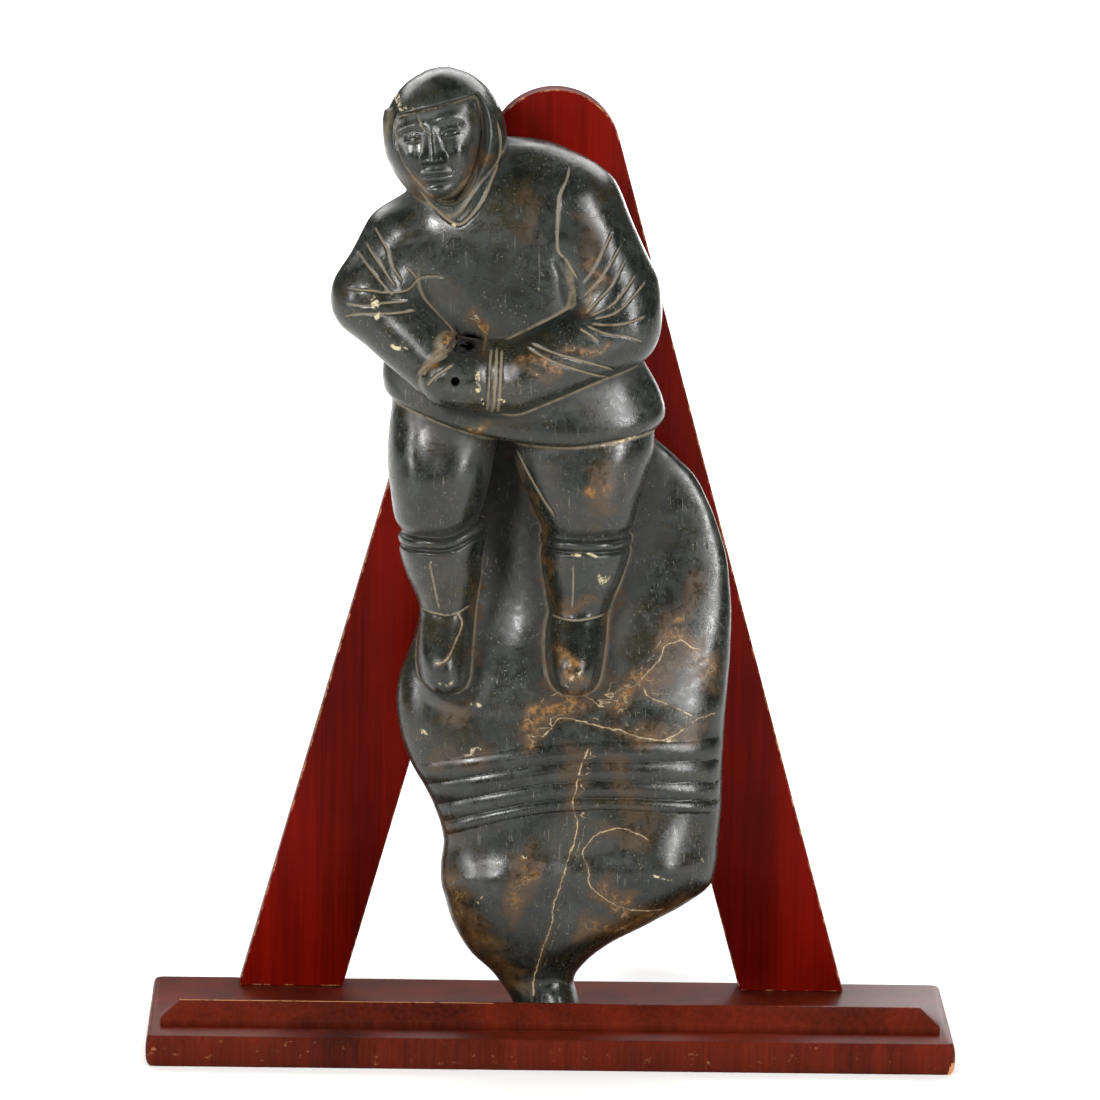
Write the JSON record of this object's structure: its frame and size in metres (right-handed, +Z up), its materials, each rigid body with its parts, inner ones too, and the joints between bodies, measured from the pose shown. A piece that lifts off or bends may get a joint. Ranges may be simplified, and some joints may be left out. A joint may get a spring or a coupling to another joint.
{
  "type": "soapstone hunter sculpture",
  "caption": "Carved soapstone hunter in a hooded parka standing in relief on a banded slab, resting on a red wooden stand with a retaining lip and an A-shaped back frame.",
  "frame": {"origin": "middle of the underside of the base board", "axes": "+Z up, +X to the viewer's right along the board, the viewer stands on the -Y side"},
  "size_m": [0.48, 0.14, 0.5873],
  "materials": {
    "soapstone": "dark green-black soapstone, hand-rubbed and waxed to a deep polish, with ochre veins, pale cracks and cream dust in the cuts",
    "red_wood": "straight-grained board, stained dark cherry red and lacquered, pale wood showing in a few chips"
  },
  "bodies": {
    "root": {"hunter_carving": "soapstone", "base_board": "red_wood", "front_lip": "red_wood", "back_frame": "red_wood"}
  },
  "joints": []
}
